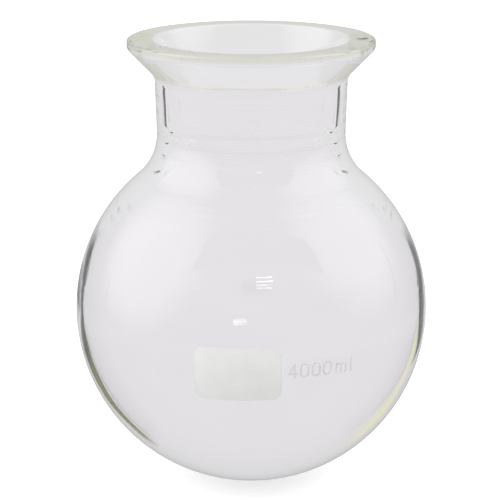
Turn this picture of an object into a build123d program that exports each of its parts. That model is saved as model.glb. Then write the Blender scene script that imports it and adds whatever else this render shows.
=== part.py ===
from build123d import *
import os
from math import cos, radians, sin, sqrt, tan

# Round-bottom glass flask with a flat flange, 4000 ml: a blown bulb and a pressed flange whose
# necks are melted together, with white enamel print on the bulb.
# Millimetres, +Z up. The origin is on the flask's axis under the bulb, and the print faces -Y.

# Bulb: a blown sphere whose wall thickens through a dome towards the shoulder
bulb_radius = 103.5
side_wall = 3.9
bottom_wall = 4.6
dome_radius = 72.0
dome_start_angle = 15.0
shoulder_radius = 34.0
inner_shoulder_radius = 22.0
neck_outer_radius = 55.0
neck_wall = 6.4

# Fused joint: the ring of melted glass between the two necks, bulging into the bore
joint_height = 6.5
joint_bulge = 2.3

# Collar: the flange's own neck, widening upwards to the throat and from there to the mouth
collar_height = 55.0
collar_wall = 7.1
collar_flare = 1.0
throat_wall = 5.4
throat_depth = 27.0
mouth_flare = 5.4
mouth_chamfer = 0.8

# Flange: a flat ground face on a rounded rim over a cone
flange_width = 15.8
rim_edge_height = 5.0
rim_top_fillet = 1.3
rim_bottom_fillet = 3.5
cone_angle = 44.0
collar_fillet = 9.0

# Enamel print, placed in degrees of longitude and latitude around the bulb's centre
enamel_thickness = 0.12
patch_width = 48.8
patch_height = 31.2
patch_corner_radius = 6.0
patch_longitude = -4.25
patch_latitude = -6.15
mark_baseline_latitude = -7.6
mark_longitudes = {"four": [12.9], "nought": [16.65, 20.4, 24.15], "m": [29.0], "l": [32.6]}
mark_height = 8.4
mark_width = 5.3
mark_m_height = 6.2
mark_m_width = 7.0
mark_stroke = 0.95
four_stem_offset = 1.06
four_bar_height = 2.52
print_reach = 5.0

os.makedirs("parts", exist_ok=True)


def on_circle(centre, radius, angle):
    """Point of a circle in the section, at an angle in degrees above the horizontal."""
    return (centre[0] + radius * cos(radians(angle)), centre[1] + radius * sin(radians(angle)))


def towards(start, end, distance):
    """Point at a distance from one point of the section towards another."""
    length = sqrt((end[0] - start[0]) ** 2 + (end[1] - start[1]) ** 2)
    share = distance / length
    return (start[0] + (end[0] - start[0]) * share, start[1] + (end[1] - start[1]) * share)


def shoulder_centre(circle_centre, circle_radius, neck_radius, arc_radius):
    """Centre of the arc that turns up from a circle into an upright neck wall."""
    x = neck_radius + arc_radius
    rise = sqrt((circle_radius + arc_radius) ** 2 - (x - circle_centre[0]) ** 2)
    return (x, circle_centre[1] + rise)


def print_plane(longitude, latitude):
    """Plane that touches the bulb there, with x to the right and y up for someone facing it."""
    sideways = (cos(radians(longitude)), sin(radians(longitude)), 0)
    level = cos(radians(latitude))
    outward = (level * sideways[1], -level * sideways[0], sin(radians(latitude)))
    point = Vector(0, 0, bulb_radius) + Vector(outward) * bulb_radius
    return Plane(point, x_dir=sideways, z_dir=outward)


# Section of the bulb: radii and heights of its centres, and where its arcs meet
neck_inner_radius = neck_outer_radius - neck_wall
outer_centre = (0, bulb_radius)
inner_radius = bulb_radius - side_wall
inner_centre = (0, bottom_wall + inner_radius)
dome_centre = on_circle(inner_centre, inner_radius - dome_radius, dome_start_angle)
outer_arc_centre = shoulder_centre(outer_centre, bulb_radius, neck_outer_radius, shoulder_radius)
inner_arc_centre = shoulder_centre(
    dome_centre, dome_radius, neck_inner_radius, inner_shoulder_radius
)
outer_shoulder_start = towards(outer_centre, outer_arc_centre, bulb_radius)
inner_shoulder_start = towards(dome_centre, inner_arc_centre, dome_radius)
dome_start = on_circle(inner_centre, inner_radius, dome_start_angle)

# The fused joint takes the last stretch of the shoulder's arc, up to where it stands upright
joint_top = outer_arc_centre[1]
joint_bottom = joint_top - joint_height
joint_bottom_radius = outer_arc_centre[0] - sqrt(shoulder_radius**2 - joint_height**2)
joint_bore_radius = neck_inner_radius - joint_bulge

# Section of the collar and the flange
height = joint_top + collar_height
collar_bottom_inner_radius = neck_outer_radius - collar_wall
collar_top_radius = neck_outer_radius + collar_flare
throat_radius = collar_top_radius - throat_wall
throat = (throat_radius, height - throat_depth)
mouth_radius = throat_radius + mouth_flare
rim_radius = collar_top_radius + flange_width
cone_top = height - rim_edge_height
cone_bottom = cone_top - flange_width / tan(radians(cone_angle))

# Bulb: outside sphere and shoulder, then back down the bore, the dome and the inner sphere
with BuildPart() as bulb:
    with BuildSketch(Plane.XZ):
        with BuildLine():
            outer_sphere = ThreePointArc(
                (0, 0), on_circle(outer_centre, bulb_radius, 0), outer_shoulder_start
            )
            TangentArc(
                outer_shoulder_start,
                (joint_bottom_radius, joint_bottom),
                tangent=outer_sphere % 1,
            )
            Polyline(
                (joint_bottom_radius, joint_bottom),
                (neck_inner_radius, joint_bottom),
                (neck_inner_radius, inner_arc_centre[1]),
            )
            inner_shoulder = TangentArc(
                (neck_inner_radius, inner_arc_centre[1]), inner_shoulder_start, tangent=(0, -1)
            )
            TangentArc(inner_shoulder_start, dome_start, tangent=inner_shoulder % 1)
            ThreePointArc(
                dome_start,
                on_circle(inner_centre, inner_radius, -dome_start_angle),
                (0, bottom_wall),
            )
            Line((0, bottom_wall), (0, 0))
        make_face()
    revolve(axis=Axis.Z)
bulb.part.label = "bulb"
export_step(bulb.part, "parts/bulb.step")

# Fused joint: outside it ends the shoulder's curve, and inside it swells into the bore
with BuildPart() as fused_joint:
    with BuildSketch(Plane.XZ):
        with BuildLine():
            TangentArc(
                (neck_outer_radius, joint_top),
                (joint_bottom_radius, joint_bottom),
                tangent=(0, -1),
            )
            Line((joint_bottom_radius, joint_bottom), (neck_inner_radius, joint_bottom))
            ThreePointArc(
                (neck_inner_radius, joint_bottom),
                (joint_bore_radius, joint_top - joint_height / 2),
                (collar_bottom_inner_radius, joint_top),
            )
            Line((collar_bottom_inner_radius, joint_top), (neck_outer_radius, joint_top))
        make_face()
    revolve(axis=Axis.Z)
fused_joint.part.label = "fused_joint"
export_step(fused_joint.part, "parts/fused_joint.step")

# Flange with its collar: up the bore to the mouth, over the ground face and down the cone
with BuildPart() as flange:
    with BuildSketch(Plane.XZ) as flange_section:
        with BuildLine():
            collar_bore = Line((collar_bottom_inner_radius, joint_top), throat)
            TangentArc(throat, (mouth_radius, height - mouth_chamfer), tangent=collar_bore % 1)
            Polyline(
                (mouth_radius, height - mouth_chamfer),
                (mouth_radius + mouth_chamfer, height),
                (rim_radius, height),
                (rim_radius, cone_top),
                (collar_top_radius, cone_bottom),
                (neck_outer_radius, joint_top),
                (collar_bottom_inner_radius, joint_top),
            )
        make_face()
        for corner, radius in (
            ((rim_radius, height), rim_top_fillet),
            ((rim_radius, cone_top), rim_bottom_fillet),
            ((collar_top_radius, cone_bottom), collar_fillet),
        ):
            fillet(flange_section.vertices().sort_by_distance(corner)[0], radius)
    revolve(axis=Axis.Z)
flange.part.label = "flange"
export_step(flange.part, "parts/flange.step")

# Writing patch: a rounded panel of enamel on the front of the bulb
with BuildPart() as writing_patch:
    with BuildSketch(print_plane(patch_longitude, patch_latitude)):
        RectangleRounded(patch_width, patch_height, patch_corner_radius)
    extrude(amount=print_reach, both=True)
    with Locations((0, 0, bulb_radius)):
        Sphere(bulb_radius + enamel_thickness, mode=Mode.INTERSECT)
        Sphere(bulb_radius, mode=Mode.SUBTRACT)
writing_patch.part.label = "writing_patch"
export_step(writing_patch.part, "parts/writing_patch.step")

# Capacity mark: one enamel solid for each figure and letter, on a common baseline
half_stroke = mark_stroke / 2
arch_radius = (mark_m_width - mark_stroke) / 4
arch_spring = mark_m_height - half_stroke - arch_radius
four_foot = (four_stem_offset, 0)
four_top = (four_stem_offset, mark_height - half_stroke)
four_bar_left = (half_stroke - mark_width / 2, four_bar_height)
four_bar_right = (mark_width / 2, four_bar_height)
four_strokes = [(four_foot, four_top), (four_top, four_bar_left), (four_bar_left, four_bar_right)]
with BuildPart() as capacity_mark:
    for figure, longitudes in mark_longitudes.items():
        for longitude in longitudes:
            with BuildSketch(print_plane(longitude, mark_baseline_latitude)):
                if figure == "four":
                    for start, end in four_strokes:
                        with BuildLine():
                            Line(start, end)
                        trace(line_width=mark_stroke)
                    with Locations(four_top, four_bar_left):
                        Circle(half_stroke)
                elif figure == "nought":
                    with Locations((0, mark_height / 2)):
                        SlotOverall(mark_height, mark_width, rotation=90)
                        SlotOverall(
                            mark_height - 2 * mark_stroke,
                            mark_width - 2 * mark_stroke,
                            rotation=90,
                            mode=Mode.SUBTRACT,
                        )
                elif figure == "m":
                    with Locations((-2 * arch_radius, mark_m_height / 2)):
                        Rectangle(mark_stroke, mark_m_height)
                    for left in (-2 * arch_radius, 0):
                        right = left + 2 * arch_radius
                        with BuildLine():
                            ThreePointArc(
                                (left, arch_spring),
                                (left + arch_radius, arch_spring + arch_radius),
                                (right, arch_spring),
                            )
                            Line((right, arch_spring), (right, 0))
                        trace(line_width=mark_stroke)
                else:
                    with Locations((0, mark_height / 2)):
                        Rectangle(mark_stroke, mark_height)
            extrude(amount=print_reach, both=True)
    with Locations((0, 0, bulb_radius)):
        Sphere(bulb_radius + enamel_thickness, mode=Mode.INTERSECT)
        Sphere(bulb_radius, mode=Mode.SUBTRACT)
capacity_mark.part.label = "capacity_mark"
export_step(capacity_mark.part, "parts/capacity_mark.step")
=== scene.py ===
import math

import bmesh
import bpy
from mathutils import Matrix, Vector


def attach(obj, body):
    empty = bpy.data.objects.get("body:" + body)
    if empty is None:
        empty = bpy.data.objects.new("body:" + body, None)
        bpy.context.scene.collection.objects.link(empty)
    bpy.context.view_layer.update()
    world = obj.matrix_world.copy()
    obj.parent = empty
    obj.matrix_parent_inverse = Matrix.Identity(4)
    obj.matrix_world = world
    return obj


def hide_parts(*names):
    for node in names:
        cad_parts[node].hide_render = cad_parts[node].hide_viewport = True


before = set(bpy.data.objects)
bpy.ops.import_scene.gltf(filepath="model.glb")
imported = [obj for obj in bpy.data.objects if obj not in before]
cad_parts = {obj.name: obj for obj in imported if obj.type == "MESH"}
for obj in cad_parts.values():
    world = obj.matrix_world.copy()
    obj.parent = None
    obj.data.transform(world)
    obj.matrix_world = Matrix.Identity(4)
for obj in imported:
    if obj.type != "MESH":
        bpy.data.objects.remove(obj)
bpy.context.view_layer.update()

# ---------------------------------------------------------------------------------------------
# Bulb. Borosilicate glass, blown: a sphere whose wall thickens through a dome into the shoulder
# and ends in a short neck. Its top edge is melted to the fused joint above it.
# ---------------------------------------------------------------------------------------------
bulb_radius = 0.1035
side_wall = 0.0039
bottom_wall = 0.0046
dome_radius = 0.072
dome_start = 15.0
dome_ease = 15.0
shoulder_radius = 0.034
inner_shoulder_radius = 0.022
neck_outer_radius = 0.055
neck_bore_radius = 0.0486
joint_height = 0.0065
joint_bulge = 0.0019
swell_reach = 0.0105
collar_bore_radius = 0.0479
collar_bore_lean = 0.0964
melt_pitch = 0.0004
bore_pitch = 0.00038
melted_steps = (0.00003, 0.00009, 0.0002)
coarse_pitch = 0.0024
fine_pitch = 0.0008
sharp_fold = 0.6
clear_tint = (0.986, 0.976, 0.991, 1.0)
cord_tint = (0.98, 0.969, 0.987, 1.0)
glass_ior = 1.473


def spaced(length, pitch, melted=""):
    """Shares of a run about a pitch apart, and closer at an end melted to another piece."""
    steps = max(3, math.ceil(length / pitch))
    shares = [i / steps for i in range(steps + 1)]
    if "start" in melted:
        shares += [close / length for close in melted_steps]
    if "end" in melted:
        shares += [1 - close / length for close in melted_steps]
    return sorted(shares)


def arc(centre, radius, start, end, pitch, melted=""):
    """Points of an arc in the section, between two angles in degrees."""
    shares = spaced(abs(math.radians(end - start)) * radius, pitch, melted)
    angles = [math.radians(start + (end - start) * share) for share in shares]
    return [(centre[0] + radius * math.cos(a), centre[1] + radius * math.sin(a)) for a in angles]


def heights(start, end, pitch, melted=""):
    """Heights about a pitch apart, from one to another."""
    return [start + (end - start) * share for share in spaced(abs(end - start), pitch, melted)]


def bearing(start, end):
    """Angle in degrees of the direction from one point of the section to another."""
    return math.degrees(math.atan2(end[1] - start[1], end[0] - start[0]))


def arc_centre_beside(circle_centre, circle_radius, neck_radius, arc_radius):
    """Centre of the arc that turns up from a circle into an upright neck wall."""
    x = neck_radius + arc_radius
    rise = math.sqrt((circle_radius + arc_radius) ** 2 - (x - circle_centre[0]) ** 2)
    return (x, circle_centre[1] + rise)


def placed(name, data):
    """An object of that name in the scene."""
    made = bpy.data.objects.new(name, data)
    bpy.context.scene.collection.objects.link(made)
    return made


def add_node(tree, kind, **settings):
    """A node with its settings."""
    made = tree.nodes.new(kind)
    for name, value in settings.items():
        setattr(made, name, value)
    return made


def set_inputs(made, **values):
    """Sets a node's unlinked inputs by name, with _ for each space."""
    for name, value in values.items():
        made.inputs[name.replace("_", " ")].default_value = value


def maths(tree, operation, *given):
    """Output of a Math node that is fed outputs and numbers in turn."""
    made = add_node(tree, "ShaderNodeMath", operation=operation)
    for socket, value in zip(made.inputs, given):
        if isinstance(value, (int, float)):
            socket.default_value = value
        else:
            tree.links.new(value, socket)
    return made.outputs[0]


def vector_maths(tree, operation, vector, other=None):
    """Vector Math node that is fed an output and, where it needs one, a fixed vector."""
    made = add_node(tree, "ShaderNodeVectorMath", operation=operation)
    tree.links.new(vector, made.inputs[0])
    if other is not None:
        made.inputs[1].default_value = other
    return made


def split_places(tree, vector):
    """X, Y and Z outputs of a vector."""
    made = add_node(tree, "ShaderNodeSeparateXYZ")
    tree.links.new(vector, made.inputs[0])
    return made.outputs


def smooth_step(tree, value, start, end, low=0.0, high=1.0):
    """Output that eases from low to high while a value goes from start to end."""
    made = add_node(tree, "ShaderNodeMapRange", interpolation_type="SMOOTHSTEP")
    set_inputs(made, From_Min=start, From_Max=end, To_Min=low, To_Max=high)
    tree.links.new(value, made.inputs["Value"])
    return made.outputs[0]


def blend_colours(tree, share, *given):
    """Output between two colours, each a fixed colour or another output."""
    made = add_node(tree, "ShaderNodeMix", data_type="RGBA")
    tree.links.new(share, made.inputs["Factor"])
    shades = [socket for socket in made.inputs if socket.type == "RGBA"]
    for socket, colour in zip(shades, given):
        if isinstance(colour, tuple):
            socket.default_value = colour
        else:
            tree.links.new(colour, socket)
    return [socket for socket in made.outputs if socket.type == "RGBA"][0]


def node_group(name, kind, inputs, outputs):
    """Empty node group with named sockets of the given types."""
    tree = bpy.data.node_groups.new(name, kind)
    for way, sockets in (("INPUT", inputs), ("OUTPUT", outputs)):
        for socket, socket_kind in sockets.items():
            tree.interface.new_socket(socket, in_out=way, socket_type="NodeSocket" + socket_kind)
    return tree


def turning_tree():
    """Geometry nodes that turn a section into a closed ring of glass and uneven its bore."""
    tree = node_group(
        "turned_glass",
        "GeometryNodeTree",
        {
            "Section": "Geometry",
            "Steps": "Int",
            "Turning Radius": "Float",
            "Seam Below": "Float",
            "Seam Above": "Float",
            "Unevenness": "Float",
            "Unevenness Scale": "Float",
            "Glass": "Material",
        },
        {"Piece": "Geometry"},
    )
    link = tree.links.new
    given = add_node(tree, "NodeGroupInput").outputs
    place = add_node(tree, "GeometryNodeInputPosition").outputs[0]
    places = split_places(tree, place)

    # The section stands in x and z; the turning curve wants it as reach and drop
    section = add_node(tree, "GeometryNodeMeshToCurve")
    link(given["Section"], section.inputs["Mesh"])
    turned = add_node(tree, "ShaderNodeCombineXYZ")
    link(maths(tree, "SUBTRACT", places["X"], given["Turning Radius"]), turned.inputs["X"])
    link(maths(tree, "MULTIPLY", places["Z"], -1.0), turned.inputs["Y"])
    flat = add_node(tree, "GeometryNodeSetPosition")
    link(section.outputs[0], flat.inputs["Geometry"])
    link(turned.outputs[0], flat.inputs["Position"])
    circle = add_node(tree, "GeometryNodeCurvePrimitiveCircle")
    link(given["Steps"], circle.inputs["Resolution"])
    link(given["Turning Radius"], circle.inputs["Radius"])
    sweep = add_node(tree, "GeometryNodeCurveToMesh")
    link(circle.outputs[0], sweep.inputs["Curve"])
    link(flat.outputs[0], sweep.inputs["Profile Curve"])
    outward = add_node(tree, "GeometryNodeFlipFaces")
    link(sweep.outputs[0], outward.inputs["Mesh"])
    closed = add_node(tree, "GeometryNodeMergeByDistance")
    set_inputs(closed, Distance=1e-6)
    link(outward.outputs[0], closed.inputs["Geometry"])

    # Blown and pressed glass is never even inside, so the bore swells and thins a little
    swell = add_node(tree, "ShaderNodeTexNoise", noise_dimensions="3D")
    set_inputs(swell, Detail=1.0)
    link(place, swell.inputs["Vector"])
    link(given["Unevenness Scale"], swell.inputs["Scale"])
    inside = add_node(tree, "GeometryNodeInputNamedAttribute", data_type="FLOAT")
    set_inputs(inside, Name="bore")
    amount = maths(tree, "SUBTRACT", swell.outputs[0], 0.5)
    amount = maths(tree, "MULTIPLY", amount, inside.outputs[0])
    amount = maths(tree, "MULTIPLY", amount, given["Unevenness"])
    level = vector_maths(tree, "MULTIPLY", place, (1.0, 1.0, 0.0))
    away = vector_maths(tree, "NORMALIZE", level.outputs[0])
    push = vector_maths(tree, "SCALE", away.outputs[0])
    link(amount, push.inputs["Scale"])
    uneven = add_node(tree, "GeometryNodeSetPosition")
    link(closed.outputs[0], uneven.inputs["Geometry"])
    link(push.outputs[0], uneven.inputs["Offset"])

    # Smooth all over, but crisp where the section turns sharply
    smooth = add_node(tree, "GeometryNodeSetShadeSmooth", domain="FACE")
    link(uneven.outputs[0], smooth.inputs["Geometry"])
    fold = add_node(tree, "GeometryNodeInputMeshEdgeAngle")
    sharp = add_node(tree, "FunctionNodeCompare", data_type="FLOAT", operation="GREATER_THAN")
    link(fold.outputs["Unsigned Angle"], sharp.inputs[0])
    sharp.inputs[1].default_value = sharp_fold
    crisp = add_node(tree, "GeometryNodeSetShadeSmooth", domain="EDGE")
    set_inputs(crisp, Shade_Smooth=False)
    link(smooth.outputs[0], crisp.inputs["Geometry"])
    link(sharp.outputs[0], crisp.inputs["Selection"])

    # The faces where two pieces are melted together lie flat at the seams' heights
    either = add_node(tree, "FunctionNodeBooleanMath", operation="OR")
    for i, seam in enumerate(("Seam Below", "Seam Above")):
        same = add_node(tree, "FunctionNodeCompare", data_type="FLOAT", operation="EQUAL")
        set_inputs(same, Epsilon=4e-6)
        link(places["Z"], same.inputs[0])
        link(given[seam], same.inputs[1])
        link(same.outputs[0], either.inputs[i])
    marked = add_node(
        tree, "GeometryNodeStoreNamedAttribute", data_type="FLOAT", domain="FACE"
    )
    set_inputs(marked, Name="seam")
    link(crisp.outputs[0], marked.inputs["Geometry"])
    link(either.outputs[0], marked.inputs["Value"])
    real = add_node(tree, "GeometryNodeRealizeInstances")
    link(marked.outputs[0], real.inputs["Geometry"])
    glazed = add_node(tree, "GeometryNodeSetMaterial")
    link(real.outputs[0], glazed.inputs["Geometry"])
    link(given["Glass"], glazed.inputs["Material"])
    result = add_node(tree, "NodeGroupOutput")
    link(glazed.outputs[0], result.inputs["Piece"])
    return tree


def turned_piece(name, tree, section, closed, values):
    """A piece turned from (radius, height, bore) points, as a plain mesh with no modifier."""
    mesh = bpy.data.meshes.new(name)
    edges = [(i, i + 1) for i in range(len(section) - 1)]
    if closed:
        edges.append((len(section) - 1, 0))
    mesh.from_pydata([(r, 0.0, z) for r, z, bore in section], edges, [])
    bore_mask = mesh.attributes.new("bore", "FLOAT", "POINT")
    bore_mask.data.foreach_set("value", [bore for r, z, bore in section])
    piece = placed(name, mesh)
    turning = piece.modifiers.new("turning", "NODES")
    turning.node_group = tree
    for item in tree.interface.items_tree:
        if item.name in values:
            turning[item.identifier] = values[item.name]
    evaluated = piece.evaluated_get(bpy.context.evaluated_depsgraph_get())
    turned_mesh = bpy.data.meshes.new_from_object(evaluated)
    piece.modifiers.remove(turning)
    piece.data = turned_mesh
    bpy.data.meshes.remove(mesh)
    turned_mesh.name = name
    return piece


def glass_cords_group():
    """Cords in glass: faint streaks that run round it, where the melt was not quite even."""
    tree = node_group(
        "glass_cords",
        "ShaderNodeTree",
        {"Tint": "Color", "Cord Tint": "Color", "Cord Size": "Float"},
        {"Colour": "Color", "Height": "Float"},
    )
    link = tree.links.new
    given = add_node(tree, "NodeGroupInput").outputs
    place = add_node(tree, "ShaderNodeTexCoord").outputs["Object"]
    drawn_out = vector_maths(tree, "MULTIPLY", place, (1.0, 1.0, 2.5))
    cords = add_node(tree, "ShaderNodeTexNoise")
    set_inputs(cords, Detail=1.0)
    link(drawn_out.outputs[0], cords.inputs["Vector"])
    link(maths(tree, "DIVIDE", 1.0, given["Cord Size"]), cords.inputs["Scale"])
    streak = smooth_step(tree, cords.outputs[0], 0.35, 0.7)
    result = add_node(tree, "NodeGroupOutput").inputs
    link(blend_colours(tree, streak, given["Tint"], given["Cord Tint"]), result["Colour"])
    link(cords.outputs[0], result["Height"])
    return tree


glass_cords = glass_cords_group()


def glass_material(name, cord_size, ripple):
    """Clear glass with faint cords and the ripple that they leave on its surface."""
    glass = bpy.data.materials.new(name)
    glass.use_nodes = True
    tree = glass.node_tree
    link = tree.links.new
    shader = tree.nodes["Principled BSDF"]
    set_inputs(shader, Roughness=0.0, IOR=glass_ior, Transmission_Weight=1.0)
    cords = add_node(tree, "ShaderNodeGroup", node_tree=glass_cords)
    set_inputs(cords, Tint=clear_tint, Cord_Tint=cord_tint, Cord_Size=cord_size)
    link(cords.outputs["Colour"], shader.inputs["Base Color"])
    relief = add_node(tree, "ShaderNodeBump")
    set_inputs(relief, Strength=1.0, Distance=ripple)
    link(cords.outputs["Height"], relief.inputs["Height"])
    link(relief.outputs[0], shader.inputs["Normal"])
    melted = add_node(tree, "ShaderNodeAttribute", attribute_name="seam")
    through = add_node(tree, "ShaderNodeBsdfTransparent")
    surface = add_node(tree, "ShaderNodeMixShader")
    link(melted.outputs["Fac"], surface.inputs[0])
    link(shader.outputs[0], surface.inputs[1])
    link(through.outputs[0], surface.inputs[2])
    link(surface.outputs[0], tree.nodes["Material Output"].inputs["Surface"])
    return glass


clear_glass = glass_material("clear_borosilicate", cord_size=0.05, ripple=0.00004)

sphere_centre = (0.0, bulb_radius)
inner_radius = bulb_radius - side_wall
inner_centre = (0.0, bottom_wall + inner_radius)
dome_reach = inner_radius - dome_radius
dome_centre = (
    dome_reach * math.cos(math.radians(dome_start)),
    inner_centre[1] + dome_reach * math.sin(math.radians(dome_start)),
)
shoulder_centre = arc_centre_beside(sphere_centre, bulb_radius, neck_outer_radius, shoulder_radius)
inner_shoulder_centre = arc_centre_beside(
    dome_centre, dome_radius, neck_bore_radius, inner_shoulder_radius
)
joint_top = shoulder_centre[1]
joint_bottom = joint_top - joint_height
joint_middle = joint_top - joint_height / 2
seam_lean = math.degrees(math.asin(joint_height / shoulder_radius))
shoulder_meets = bearing(sphere_centre, shoulder_centre)
inner_meets = bearing(dome_centre, inner_shoulder_centre)
outside = arc(sphere_centre, bulb_radius, -90.0, shoulder_meets, coarse_pitch)
outside += arc(
    shoulder_centre, shoulder_radius, 180.0 + shoulder_meets, 180.0 + seam_lean, fine_pitch, "end"
)[1:]
outside[0] = (0.0, 0.0)


def bore_radius(height):
    """Radius of the bore near the fused joint, where molten glass ran smoothly into it."""
    off = (height - joint_middle) / swell_reach
    if off <= -1:
        return neck_bore_radius
    collar_bore = collar_bore_radius + collar_bore_lean * (height - joint_top)
    if off >= 1:
        return collar_bore
    share = (off + 1) / 2
    share = share * share * (3 - 2 * share)
    swell = joint_bulge * (1 + math.cos(math.pi * off)) / 2
    return neck_bore_radius + (collar_bore - neck_bore_radius) * share - swell


def bore_run(start, end, pitch, melted=""):
    """Points along the bore, from one height to another."""
    return [(bore_radius(z), z) for z in heights(start, end, pitch, melted)]


inside = bore_run(joint_bottom, inner_shoulder_centre[1], melt_pitch, "start")
inside += arc(
    inner_shoulder_centre, inner_shoulder_radius, 180.0, 180.0 + inner_meets, fine_pitch
)[1:]
dome_end = bearing(inner_centre, inside[-1])
dome_steps = math.ceil(math.radians(dome_end + 90.0) * inner_radius / coarse_pitch)
for step in range(1, dome_steps + 1):
    angle = dome_end - (dome_end + 90.0) * step / dome_steps
    past = angle - dome_start
    if abs(past) < dome_ease:
        past = (past + dome_ease) ** 2 / (4 * dome_ease)
    past = math.radians(max(past, 0.0))
    wall = dome_reach * math.cos(past)
    wall += math.sqrt(dome_radius**2 - (dome_reach * math.sin(past)) ** 2)
    way = math.radians(angle)
    inside.append((wall * math.cos(way), inner_centre[1] + wall * math.sin(way)))
inside[-1] = (0.0, bottom_wall)
bulb_section = [(r, z, 0.0) for r, z in outside] + [(r, z, 1.0) for r, z in inside]
turned_glass = turning_tree()
glass_values = {
    "Steps": 256,
    "Turning Radius": neck_outer_radius,
    "Seam Below": joint_bottom,
    "Seam Above": joint_top,
    "Unevenness": 0.0004,
    "Unevenness Scale": 22.0,
    "Glass": clear_glass,
}
bulb = turned_piece("bulb_glass", turned_glass, bulb_section, False, glass_values)
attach(bulb, "flask")
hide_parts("bulb")

# ---------------------------------------------------------------------------------------------
# Fused joint. The ring where the blown neck and the pressed collar were melted into each other
# in the flame: outside it ends the shoulder's curve, inside it swells into the bore.
# ---------------------------------------------------------------------------------------------
joint_outside = arc(
    shoulder_centre, shoulder_radius, 180.0 + seam_lean, 180.0, melt_pitch, "start and end"
)
joint_bore = bore_run(joint_top, joint_bottom, melt_pitch, "start and end")
joint_section = [(r, z, 0.0) for r, z in joint_outside] + [(r, z, 1.0) for r, z in joint_bore]
fused_joint = turned_piece("joint_glass", turned_glass, joint_section, True, glass_values)
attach(fused_joint, "flask")
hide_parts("fused_joint")

# ---------------------------------------------------------------------------------------------
# Flange with its collar. Borosilicate glass, pressed in a mould: a flat ground face on a rounded
# rim over a cone, and a collar that widens inside to the mouth. Thick glass, so it looks greener.
# ---------------------------------------------------------------------------------------------
collar_height = 0.055
collar_top_radius = 0.056
flange_width = 0.0158
rim_edge_height = 0.005
rim_top_round = 0.0013
rim_foot_round = 0.0035
cone_angle = 44.0
collar_round = 0.009
throat_depth = 0.027
mouth_radius = 0.056
mouth_chamfer = 0.0008
edge_ease = 0.00025
collar_ease = 0.006
collar_straight_share = 0.6
collar_pitch = 0.001
collar_round_pitch = 0.00018
rim_foot_pitch = 0.0001
rim_top_pitch = 0.00007
edge_pitch = 0.00003
rim_tint = (0.79, 0.8, 0.63, 1.0)
tint_depths = (0.0045, 0.0015)
tint_reaches = (0.0004, 0.004)


def rounded(before, corner, after, radius, pitch):
    """Points of the arc that rounds a corner of the section."""
    into = (Vector(before) - Vector(corner)).normalized()
    out = (Vector(after) - Vector(corner)).normalized()
    half = into.angle(out) / 2
    centre = Vector(corner) + (into + out).normalized() * (radius / math.sin(half))
    start = Vector(corner) + into * (radius / math.tan(half))
    end = Vector(corner) + out * (radius / math.tan(half))
    first = bearing(centre, start)
    turn = (bearing(centre, end) - first + 180) % 360 - 180
    return arc(centre, radius, first, first + turn, pitch)


top = joint_top + collar_height
throat_rise = collar_height - throat_depth
throat = (collar_bore_radius + collar_bore_lean * throat_rise, joint_top + throat_rise)
rim_radius = collar_top_radius + flange_width
cone_top = top - rim_edge_height
cone_foot = cone_top - flange_width / math.tan(math.radians(cone_angle))
bore_way = (Vector(throat) - Vector((collar_bore_radius, joint_top))).normalized()
bore_side = Vector((bore_way[1], -bore_way[0]))
mouth_start = Vector((mouth_radius, top - mouth_chamfer))
mouth_span = mouth_start - Vector(throat)
mouth_arc_radius = mouth_span.length_squared / (2 * mouth_span.dot(bore_side))
mouth_centre = Vector(throat) + bore_side * mouth_arc_radius
collar_corner = (collar_top_radius, cone_foot)
rim_foot_corner = (rim_radius, cone_top)
rim_top_corner = (rim_radius, top)
mouth_corner = (mouth_radius + mouth_chamfer, top)
collar_reach = cone_foot - joint_top
collar_lean = (collar_top_radius - neck_outer_radius) / (collar_reach - collar_ease / 2)
collar_line_foot = (neck_outer_radius - collar_lean * collar_ease / 2, joint_top)
flange_outside = []
straight_end = joint_top + collar_straight_share * collar_reach
for z in heights(joint_top, straight_end, collar_pitch, "start"):
    rise = z - joint_top
    past = rise**2 / (2 * collar_ease) if rise < collar_ease else rise - collar_ease / 2
    flange_outside.append((neck_outer_radius + collar_lean * past, z))
for before, corner, after, radius, pitch in (
    (collar_line_foot, collar_corner, rim_foot_corner, collar_round, collar_round_pitch),
    (collar_corner, rim_foot_corner, rim_top_corner, rim_foot_round, rim_foot_pitch),
    (rim_foot_corner, rim_top_corner, mouth_corner, rim_top_round, rim_top_pitch),
    (rim_top_corner, mouth_corner, mouth_start, edge_ease, edge_pitch),
):
    flange_outside += rounded(before, corner, after, radius, pitch)
flange_bore = arc(
    mouth_centre,
    mouth_arc_radius,
    bearing(mouth_centre, mouth_start) % 360,
    bearing(mouth_centre, throat) % 360,
    fine_pitch,
)
flange_bore += bore_run(throat[1], joint_middle + swell_reach, bore_pitch)[1:]
flange_bore += bore_run(joint_middle + swell_reach, joint_top, melt_pitch, "end")[1:]
flange_section = [(r, z, 0.0) for r, z in flange_outside] + [(r, z, 1.0) for r, z in flange_bore]


def tint_rim(glass):
    """Tints glass by its place: fading in towards the top and outwards from the mouth."""
    tree = glass.node_tree
    place = add_node(tree, "ShaderNodeTexCoord").outputs["Object"]
    height = split_places(tree, place)["Z"]
    level = vector_maths(tree, "MULTIPLY", place, (1.0, 1.0, 0.0))
    reach = vector_maths(tree, "LENGTH", level.outputs[0]).outputs["Value"]
    near_top = smooth_step(tree, height, *[top - depth for depth in tint_depths])
    past_mouth = smooth_step(tree, reach, *[mouth_radius + width for width in tint_reaches])
    share = maths(tree, "MULTIPLY", near_top, past_mouth)
    colour = tree.nodes["Principled BSDF"].inputs["Base Color"]
    tinted = blend_colours(tree, share, colour.links[0].from_socket, rim_tint)
    tree.links.new(tinted, colour)


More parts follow.
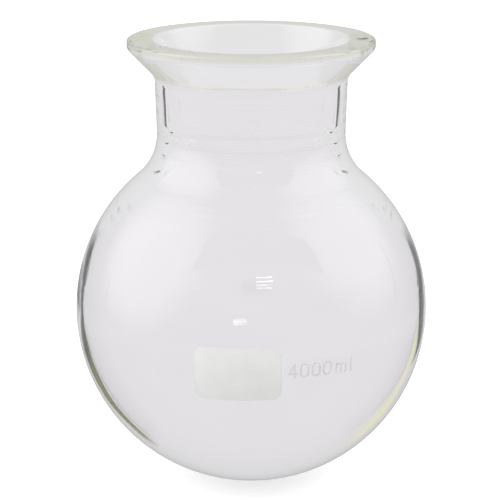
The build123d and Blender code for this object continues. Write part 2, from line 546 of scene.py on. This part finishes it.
flange_glass = glass_material("pressed_borosilicate", cord_size=0.03, ripple=0.00002)
tint_rim(flange_glass)
flange_values = dict(glass_values, Glass=flange_glass, Steps=320)
flange = turned_piece("flange_glass", turned_glass, flange_section, True, flange_values)
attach(flange, "flask")
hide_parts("flange")

# ---------------------------------------------------------------------------------------------
# Writing panel. White ceramic ink, screen-printed on the front of the bulb and fired in, so that
# a pencil writes on it. The ink stands a little higher along its edge, where it drew together.
# ---------------------------------------------------------------------------------------------
panel_width = 0.0488
panel_height = 0.0312
panel_corner = 0.006
panel_longitude = -4.25
panel_latitude = -6.15
ink_foot = 0.000015
ink_thickness = 0.00009
ink_bead = 0.000118
ink_pitch = 0.0011
bead_width = 0.012
bead_place = 0.8
panel_rings = (1.0, 0.998, 0.992, 0.984, 0.972, 0.95, 0.9, 0.82, 0.72, 0.6, 0.46, 0.3, 0.14)


def print_frame(longitude, latitude):
    """Right, up and outward for a print that touches the bulb at that place, in degrees."""
    lon = math.radians(longitude)
    lat = math.radians(latitude)
    right = Vector((math.cos(lon), math.sin(lon), 0.0))
    outward = Vector((math.cos(lat) * math.sin(lon), -math.cos(lat) * math.cos(lon), math.sin(lat)))
    return right, outward.cross(right), outward


def on_bulb(across, along, height, print_axes):
    """Point of a print, pressed straight on to the bulb and lifted off the glass by a height."""
    right, up, outward = print_axes
    deep = math.sqrt((bulb_radius + height) ** 2 - across**2 - along**2)
    return Vector((0.0, 0.0, bulb_radius)) + right * across + up * along + outward * deep


def line(start, end, pitch):
    """Points of a straight run."""
    shares = spaced(math.dist(start, end), pitch)
    return [
        (start[0] + (end[0] - start[0]) * s, start[1] + (end[1] - start[1]) * s) for s in shares
    ]


panel_axes = print_frame(panel_longitude, panel_latitude)
half_width = panel_width / 2
half_height = panel_height / 2
panel_outline = []
for side_x, side_y, start in ((1, 1, 0.0), (-1, 1, 90.0), (-1, -1, 180.0), (1, -1, 270.0)):
    round_centre = (side_x * (half_width - panel_corner), side_y * (half_height - panel_corner))
    corner_points = arc(round_centre, panel_corner, start, start + 90.0, ink_pitch)
    if panel_outline:
        panel_outline += line(panel_outline[-1], corner_points[0], ink_pitch)[1:-1]
    panel_outline += corner_points
panel_outline += line(panel_outline[-1], panel_outline[0], ink_pitch)[1:-1]
panel_mesh = bpy.data.meshes.new("writing_panel")
panel_build = bmesh.new()
nearness = panel_build.verts.layers.float.new("edge")
foot_rings = []
face_rings = []
for share in panel_rings:
    bead = math.exp(-(((1.0 - share) / bead_width - bead_place) ** 2))
    lift = ink_thickness + (ink_bead - ink_thickness) * bead
    if share == 1.0:
        lift = 0.5 * ink_thickness
    foot_ring = []
    face_ring = []
    for across, along in panel_outline:
        low = panel_build.verts.new(on_bulb(across * share, along * share, ink_foot, panel_axes))
        high = panel_build.verts.new(on_bulb(across * share, along * share, lift, panel_axes))
        low[nearness] = share
        high[nearness] = share
        foot_ring.append(low)
        face_ring.append(high)
    foot_rings.append(foot_ring)
    face_rings.append(face_ring)
foot_middle = panel_build.verts.new(on_bulb(0.0, 0.0, ink_foot, panel_axes))
face_middle = panel_build.verts.new(on_bulb(0.0, 0.0, ink_thickness, panel_axes))
around = len(panel_outline)
for i in range(around):
    j = (i + 1) % around
    panel_build.faces.new(
        (foot_rings[0][i], foot_rings[0][j], face_rings[0][j], face_rings[0][i])
    )
    panel_build.faces.new((face_middle, face_rings[-1][i], face_rings[-1][j]))
    panel_build.faces.new((foot_middle, foot_rings[-1][j], foot_rings[-1][i]))
    for outer in range(len(panel_rings) - 1):
        face = (face_rings[outer], face_rings[outer + 1])
        foot = (foot_rings[outer + 1], foot_rings[outer])
        panel_build.faces.new((face[0][i], face[0][j], face[1][j], face[1][i]))
        panel_build.faces.new((foot[0][i], foot[0][j], foot[1][j], foot[1][i]))
bmesh.ops.recalc_face_normals(panel_build, faces=panel_build.faces)
for face in panel_build.faces:
    face.smooth = True
panel_build.to_mesh(panel_mesh)
panel_build.free()
panel = placed("writing_panel", panel_mesh)


def ink_grain_group():
    """Fired ink: fine matt grain, and cloudy places where the screen laid it thinner."""
    tree = node_group(
        "ink_grain",
        "ShaderNodeTree",
        {"Ink": "Color", "Thin Ink": "Color", "Cloud Size": "Float", "Grain Size": "Float"},
        {"Colour": "Color", "Roughness": "Float", "Height": "Float"},
    )
    link = tree.links.new
    given = add_node(tree, "NodeGroupInput").outputs
    place = add_node(tree, "ShaderNodeTexCoord").outputs["Object"]
    patterns = []
    for size, detail in (("Cloud Size", 3.0), ("Grain Size", 2.0)):
        noise = add_node(tree, "ShaderNodeTexNoise")
        set_inputs(noise, Detail=detail)
        link(place, noise.inputs["Vector"])
        link(maths(tree, "DIVIDE", 1.0, given[size]), noise.inputs["Scale"])
        patterns.append(noise.outputs[0])
    clouds, grain = patterns
    both = maths(tree, "MULTIPLY_ADD", grain, 0.35, clouds)
    thinness = smooth_step(tree, both, 0.5, 0.95)
    matt = add_node(tree, "ShaderNodeMapRange")
    set_inputs(matt, To_Min=0.42, To_Max=0.62)
    link(grain, matt.inputs["Value"])
    result = add_node(tree, "NodeGroupOutput").inputs
    link(blend_colours(tree, thinness, given["Ink"], given["Thin Ink"]), result["Colour"])
    link(matt.outputs[0], result["Roughness"])
    link(grain, result["Height"])
    return tree


ink_grain = ink_grain_group()


def ink_material(name, ink, thin_ink, edge_ink):
    """White fired ink, thinner and warmer where an edge attribute nears one."""
    made = bpy.data.materials.new(name)
    made.use_nodes = True
    tree = made.node_tree
    link = tree.links.new
    shader = tree.nodes["Principled BSDF"]
    set_inputs(shader, Specular_IOR_Level=0.4)
    grain = add_node(tree, "ShaderNodeGroup", node_tree=ink_grain)
    set_inputs(grain, Ink=ink, Thin_Ink=thin_ink, Cloud_Size=0.009, Grain_Size=0.0006)
    edge = add_node(tree, "ShaderNodeAttribute", attribute_name="edge")
    rim = smooth_step(tree, edge.outputs["Fac"], 0.955, 0.995)
    colour = blend_colours(tree, rim, grain.outputs["Colour"], edge_ink)
    link(colour, shader.inputs["Base Color"])
    link(grain.outputs["Roughness"], shader.inputs["Roughness"])
    relief = add_node(tree, "ShaderNodeBump")
    set_inputs(relief, Strength=0.35, Distance=0.00004)
    link(grain.outputs["Height"], relief.inputs["Height"])
    link(relief.outputs[0], shader.inputs["Normal"])
    return made


panel_ink = ink_material(
    "fired_panel_ink",
    ink=(0.745, 0.745, 0.74, 1.0),
    thin_ink=(0.715, 0.716, 0.71, 1.0),
    edge_ink=(0.7, 0.695, 0.635, 1.0),
)
panel_mesh.materials.append(panel_ink)
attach(panel, "flask")
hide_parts("writing_patch")

# ---------------------------------------------------------------------------------------------
# Capacity mark. The same ink, one thin stroke for each figure and letter beside the panel. The
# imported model's own strokes are shown, with the ink that lies thinner and greyer in them.
# ---------------------------------------------------------------------------------------------
mark_ink = ink_material(
    "fired_mark_ink",
    ink=(0.66, 0.66, 0.645, 1.0),
    thin_ink=(0.56, 0.562, 0.55, 1.0),
    edge_ink=(0.6, 0.6, 0.58, 1.0),
)
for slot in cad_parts["capacity_mark"].material_slots:
    slot.material = mark_ink

# ---------------------------------------------------------------------------------------------
# Studio. A white floor and surroundings, two soft lamps and a window. Thin black cards stand
# edge-on round the flask, fixed in place, so that light bent by the wall draws its edges dark.
# ---------------------------------------------------------------------------------------------
aim = Vector((0.0, 0.0, 0.137386))
camera_distance = 1.3
camera_elevation = math.radians(14.3)
camera_data = bpy.data.cameras.new("camera")
camera_data.sensor_width = 36.0
camera_data.lens = 158.65
camera_data.shift_x = -0.0024
camera = placed("camera", camera_data)
camera.location = aim + camera_distance * Vector(
    (0.0, -math.cos(camera_elevation), math.sin(camera_elevation))
)
camera.rotation_euler = (math.pi / 2 - camera_elevation, 0.0, 0.0)
bpy.context.scene.camera = camera
bpy.context.scene.view_settings.view_transform = "Standard"
glass_bounces = 96
bpy.context.scene.cycles.max_bounces = glass_bounces
bpy.context.scene.cycles.glossy_bounces = glass_bounces
bpy.context.scene.cycles.transmission_bounces = glass_bounces
bpy.context.scene.cycles.transparent_max_bounces = glass_bounces

# Surroundings: white to the camera, a little darker through the glass, and in what the glass
# reflects a pale sky with two soft zones and a faint horizon
world = bpy.data.worlds.new("studio")
world.use_nodes = True
bpy.context.scene.world = world
studio = world.node_tree
studio.nodes.clear()
studio_path = add_node(studio, "ShaderNodeLightPath").outputs
studio_way = add_node(studio, "ShaderNodeTexCoord").outputs["Generated"]
studio_height = split_places(studio, studio_way)["Z"]
through_level = 0.81
reflections = []
for towards, inner, outer, strength in (
    ((-0.87, -0.11, 0.48), 8.0, 46.0, 2.1),
    ((0.81, -0.02, 0.586), 8.0, 44.0, 1.7),
):
    facing = vector_maths(studio, "DOT_PRODUCT", studio_way, Vector(towards).normalized())
    inner_cosine = math.cos(math.radians(inner))
    outer_cosine = math.cos(math.radians(outer))
    soft_zone = smooth_step(
        studio, facing.outputs["Value"], outer_cosine, inner_cosine, high=strength
    )
    reflections.append(soft_zone)
horizon_height = -0.26
off_horizon = maths(studio, "ABSOLUTE", maths(studio, "ADD", studio_height, -horizon_height))
reflections.append(smooth_step(studio, off_horizon, 0.03, 0.09, low=0.15, high=0.0))
reflections.append(smooth_step(studio, studio_height, -0.5, 0.6, low=0.35, high=0.75))
reflected_level = reflections[0]
for reflection in reflections[1:]:
    reflected_level = maths(studio, "ADD", reflected_level, reflection)
through = maths(studio, "MULTIPLY", studio_path["Is Transmission Ray"], through_level)
other = maths(studio, "SUBTRACT", 1.0, studio_path["Is Transmission Ray"])
other = maths(studio, "SUBTRACT", other, studio_path["Is Camera Ray"])
reflected = maths(studio, "MULTIPLY", other, reflected_level)
light_level = maths(studio, "ADD", through, reflected)
light_level = maths(studio, "ADD", light_level, studio_path["Is Camera Ray"])
studio_light = add_node(studio, "ShaderNodeBackground")
set_inputs(studio_light, Color=(1.0, 1.0, 1.0, 1.0))
studio.links.new(light_level, studio_light.inputs["Strength"])
studio_end = add_node(studio, "ShaderNodeOutputWorld")
studio.links.new(studio_light.outputs[0], studio_end.inputs["Surface"])


def rectangle(left, right, low, high):
    """Corners of a rectangle, in turn."""
    return ((left, low), (right, low), (right, high), (left, high))


def flat_sheets(name, sheets, material):
    """Four-cornered sheets of one material, as one object of the studio."""
    mesh = bpy.data.meshes.new(name)
    corners = [corner for sheet in sheets for corner in sheet]
    faces = [tuple(range(4 * i, 4 * i + 4)) for i in range(len(sheets))]
    mesh.from_pydata(corners, [], faces)
    mesh.materials.append(material)
    made = placed(name, mesh)
    return made


def hide_from_camera(made):
    """Leaves an object to the light that the glass bends or reflects."""
    made.visible_camera = False
    made.visible_diffuse = False
    made.visible_shadow = False


floor_half = 6.0
floor_height = -0.0002
floor_glow = 0.6
floor_paint = bpy.data.materials.new("floor_paint")
floor_paint.use_nodes = True
floor_tree = floor_paint.node_tree
floor_shader = floor_tree.nodes["Principled BSDF"]
set_inputs(floor_shader, Base_Color=(0.6, 0.6, 0.6, 1.0), Roughness=1.0, Specular_IOR_Level=0.0)
set_inputs(floor_shader, Emission_Color=(1.0, 1.0, 1.0, 1.0))
floor_path = add_node(floor_tree, "ShaderNodeLightPath")
floor_lift = maths(floor_tree, "MULTIPLY", floor_path.outputs["Is Camera Ray"], floor_glow)
floor_tree.links.new(floor_lift, floor_shader.inputs["Emission Strength"])
floor_edges = rectangle(-floor_half, floor_half, -floor_half, floor_half)
floor = flat_sheets("floor", [[(x, y, floor_height) for x, y in floor_edges]], floor_paint)
floor.visible_transmission = False
floor.visible_glossy = False

# Black cards. The large ones start where light that skims the bulb's wall would meet them
view_way = Vector((0.0, math.cos(camera_elevation), -math.sin(camera_elevation)))
view_up = Vector((0.0, math.sin(camera_elevation), math.cos(camera_elevation)))
card_turn = 45.0
bulb_skims = ((0.82, "GREATER_THAN"), (0.985, "LESS_THAN"))
neck_skims = ((0.95, "GREATER_THAN"),)
card_spread = 1.1
card_shades = ((0.86, 0.0), (0.93, 0.1), (0.95, 0.3), (0.9555, 1.0))
card_end_share = 0.9622
card_limb = (37, 33, 29, 24, 16, 8, 0, -8, -16, -24, -32, -40, -46, -52, -58)
card_top_fade = 14
card_foot_fade = 7
neck_card_heights = (0.1, 0.177)
neck_card_drop = 0.14
neck_card_reaches = ((0.12, 0.0), (0.235, 0.3), (0.275, 1.0), (0.6, 1.0))


def skimmed_spot(share, limb):
    """Reach and height where light that skims the bulb, at a share of its radius, meets a card."""
    offset = share * bulb_radius
    leaving = math.asin(offset / camera_distance)
    for radius, way in ((inner_radius, 2), (bulb_radius, -2)):
        leaving += way * (math.asin(offset / radius) - math.asin(offset / (radius * glass_ior)))
    side = Vector((math.cos(limb), 0.0, 0.0)) + view_up * math.sin(limb)
    way = view_way * math.cos(leaving) + side * math.sin(leaving)
    start = (side * math.cos(leaving) - view_way * math.sin(leaving)) * offset
    start += Vector((0.0, 0.0, bulb_radius))
    spot = start + way * (start.x - start.y) / (way.y - way.x)
    return Vector((math.hypot(spot.x, spot.y), spot.z))


def card_edges():
    """Rows of (reach, height, cover) for the edge of a card, from its top round to its foot."""
    rows = []
    for degrees in card_limb:
        limb = math.radians(degrees)
        dark = min(1.0, (card_limb[0] - degrees) / card_top_fade)
        dark *= min(1.0, (degrees - card_limb[-1]) / card_foot_fade)
        row = [(*skimmed_spot(share, limb), cover * dark) for share, cover in card_shades]
        spread = skimmed_spot(card_end_share, limb) - skimmed_spot(card_shades[1][0], limb)
        outer = Vector(row[-1][:2]) + spread * card_spread
        rows.append(row + [(*outer, dark)])
    return rows


def neck_card():
    """Rows of (reach, height, cover) for the strip beside the neck."""
    rows = []
    for z in neck_card_heights:
        row = []
        for reach, cover in neck_card_reaches:
            row.append((reach, z - neck_card_drop * (reach - neck_card_reaches[0][0]), cover))
        rows.append(row)
    return rows


def felt(name, most_bounces, most_reflections, low_colour, skims):
    """Black felt that thins out to nothing, and is seen only by light that skimmed the glass."""
    made = bpy.data.materials.new(name)
    made.use_nodes = True
    tree = made.node_tree
    link = tree.links.new
    tree.nodes.clear()
    path = add_node(tree, "ShaderNodeLightPath").outputs
    place = add_node(tree, "ShaderNodeTexCoord").outputs["Object"]
    away = vector_maths(tree, "DISTANCE", place, (0.0, 0.0, bulb_radius)).outputs["Value"]
    mask = add_node(tree, "ShaderNodeAttribute", attribute_name="cover").outputs["Fac"]
    for count, most in (("Ray Depth", most_bounces), ("Glossy Depth", most_reflections)):
        few = maths(tree, "LESS_THAN", path[count], most + 0.5)
        mask = maths(tree, "MULTIPLY", mask, few)
    # How far light has come since it left the bulb tells if it skimmed it, at a share of its radius
    for share, comparison in skims:
        skim_path = away
        for operation, amount in (
            ("POWER", 2.0),
            ("SUBTRACT", (share * bulb_radius) ** 2),
            ("POWER", 0.5),
            ("SUBTRACT", math.sqrt(1 - share**2) * bulb_radius),
        ):
            skim_path = maths(tree, operation, skim_path, amount)
        skimmed = maths(tree, comparison, path["Ray Length"], skim_path)
        mask = maths(tree, "MULTIPLY", mask, skimmed)
    low = smooth_step(tree, split_places(tree, place)["Z"], *low_colour[1:])
    black = add_node(tree, "ShaderNodeEmission")
    link(blend_colours(tree, low, felt_black, low_colour[0]), black.inputs["Color"])
    clear = add_node(tree, "ShaderNodeBsdfTransparent")
    blend = add_node(tree, "ShaderNodeMixShader")
    link(mask, blend.inputs[0])
    link(clear.outputs[0], blend.inputs[1])
    link(black.outputs[0], blend.inputs[2])
    end = add_node(tree, "ShaderNodeOutputMaterial")
    link(blend.outputs[0], end.inputs["Surface"])
    return made


def card_set(name, turns, material, rows, lean=0.0):
    """Cards that stand edge-on round the flask, each some eighths of a turn round."""
    points = []
    faces = []
    covers = []
    for turn in turns:
        way = math.radians(card_turn * turn + lean)
        across = len(rows[0])
        first = len(points)
        for row in rows:
            for reach, z, cover in row:
                points.append((reach * math.cos(way), reach * math.sin(way), z))
                covers.append(cover)
        for i in range(len(rows) - 1):
            for j in range(across - 1):
                k = first + across * i + j
                faces.append((k, k + 1, k + across + 1, k + across))
    mesh = bpy.data.meshes.new(name)
    mesh.from_pydata(points, [], faces)
    mesh.attributes.new("cover", "FLOAT", "POINT").data.foreach_set("value", covers)
    mesh.materials.append(material)
    cards = placed(name, mesh)
    hide_from_camera(cards)
    cards.visible_glossy = False


felt_black = (0.004, 0.004, 0.004, 1.0)
olive = ((0.2, 0.19, 0.06, 1.0), -0.025, -0.06)
straw = ((0.92, 0.9, 0.6, 1.0), -0.015, -0.035)
edges = card_edges()
card_set("right_card", (1,), felt("right_felt", 5, 5, straw, bulb_skims), edges)
card_set("left_card", (3,), felt("left_felt", 5, 5, olive, bulb_skims), edges)
card_set("side_cards", (0, 4, 5, 6, 7), felt("side_felt", 4, 0, olive, bulb_skims), edges)
neck_edges = neck_card()
neck_lean = 0.05
card_set("neck_cards", (1, 3), felt("neck_felt", 5, 5, olive, neck_skims), neck_edges, neck_lean)
side_neck_felt = felt("side_neck_felt", 4, 0, olive, neck_skims)
card_set("side_neck_cards", (0, 4, 5, 6, 7), side_neck_felt, neck_edges, neck_lean)


def glowing(name):
    """A material that only gives light, and the node that gives it."""
    made = bpy.data.materials.new(name)
    made.use_nodes = True
    tree = made.node_tree
    tree.nodes.clear()
    glow = add_node(tree, "ShaderNodeEmission")
    end = add_node(tree, "ShaderNodeOutputMaterial")
    tree.links.new(glow.outputs[0], end.inputs["Surface"])
    return made, glow


# A window with two panes one above the other, in front and above, which the glass reflects
window_centre = Vector((0.28, -1.70, 1.155))
window_width = 0.34
pane_height = 0.026
pane_pitch = 0.088
panes = []
for pane in range(2):
    low = (pane - 0.5) * pane_pitch - pane_height / 2
    pane_edges = rectangle(-window_width / 2, window_width / 2, low, low + pane_height)
    panes.append([(across, along, 0.0) for across, along in pane_edges])
window_glow, window_light = glowing("window_glow")
set_inputs(window_light, Strength=13.0)
window = flat_sheets("studio_window", panes, window_glow)
window.location = window_centre
window_facing = Vector((0.0, 0.0, bulb_radius)) - window_centre
window.rotation_euler = window_facing.to_track_quat("-Z", "Y").to_euler()
hide_from_camera(window)

# A pale flag keeps that window out of the mouth
flag_place = -0.3
flag_paper, flag_glow = glowing("flag_paper")
flag_tree = flag_paper.node_tree
flag_path = add_node(flag_tree, "ShaderNodeLightPath")
flag_level = add_node(flag_tree, "ShaderNodeMapRange")
set_inputs(flag_level, To_Min=0.6, To_Max=through_level)
flag_tree.links.new(flag_path.outputs["Is Transmission Ray"], flag_level.inputs["Value"])
flag_tree.links.new(flag_level.outputs[0], flag_glow.inputs["Strength"])
flag_edges = rectangle(-0.25, 0.35, 0.34, 0.62)
flag = flat_sheets("window_flag", [[(x, flag_place, z) for x, z in flag_edges]], flag_paper)
hide_from_camera(flag)

# Two soft lamps, high up at either side
softbox_aim = Vector((0.0, 0.0, 0.12))
for name, side in (("left_softbox", -1.0), ("right_softbox", 1.0)):
    light = bpy.data.lights.new(name, "AREA")
    light.shape = "RECTANGLE"
    light.size = 1.0
    light.size_y = 1.4
    light.energy = 8.0
    softbox = placed(name, light)
    softbox.location = (1.5 * side, -0.5, 1.1)
    softbox_facing = softbox_aim - softbox.location
    softbox.rotation_euler = softbox_facing.to_track_quat("-Z", "Y").to_euler()
    softbox.visible_glossy = False
    softbox.visible_transmission = False
